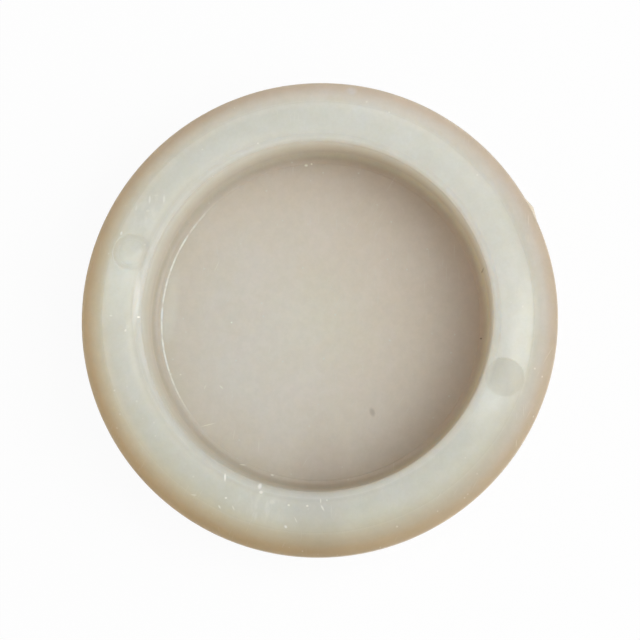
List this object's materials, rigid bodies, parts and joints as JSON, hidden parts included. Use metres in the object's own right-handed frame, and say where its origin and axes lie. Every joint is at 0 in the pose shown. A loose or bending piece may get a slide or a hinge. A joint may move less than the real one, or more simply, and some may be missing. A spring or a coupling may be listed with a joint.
{
  "type": "blanking plug",
  "caption": "Round flanged blanking plug in natural milky plastic: a press-in spigot with a closed end and an open shallow recess closes a drilled hole.",
  "frame": {"origin": "centre of the closed end's flat face, on which the plug stands", "axes": "+Z along the plug's axis, out of the recess; the flange is uppermost and the spigot points down"},
  "size_m": [0.025, 0.025, 0.004],
  "materials": {
    "natural_plastic": "semi-gloss, undyed milky plastic, slightly translucent and warmer where it is thin"
  },
  "bodies": {
    "root": {"blanking_plug": "natural_plastic"}
  },
  "joints": []
}
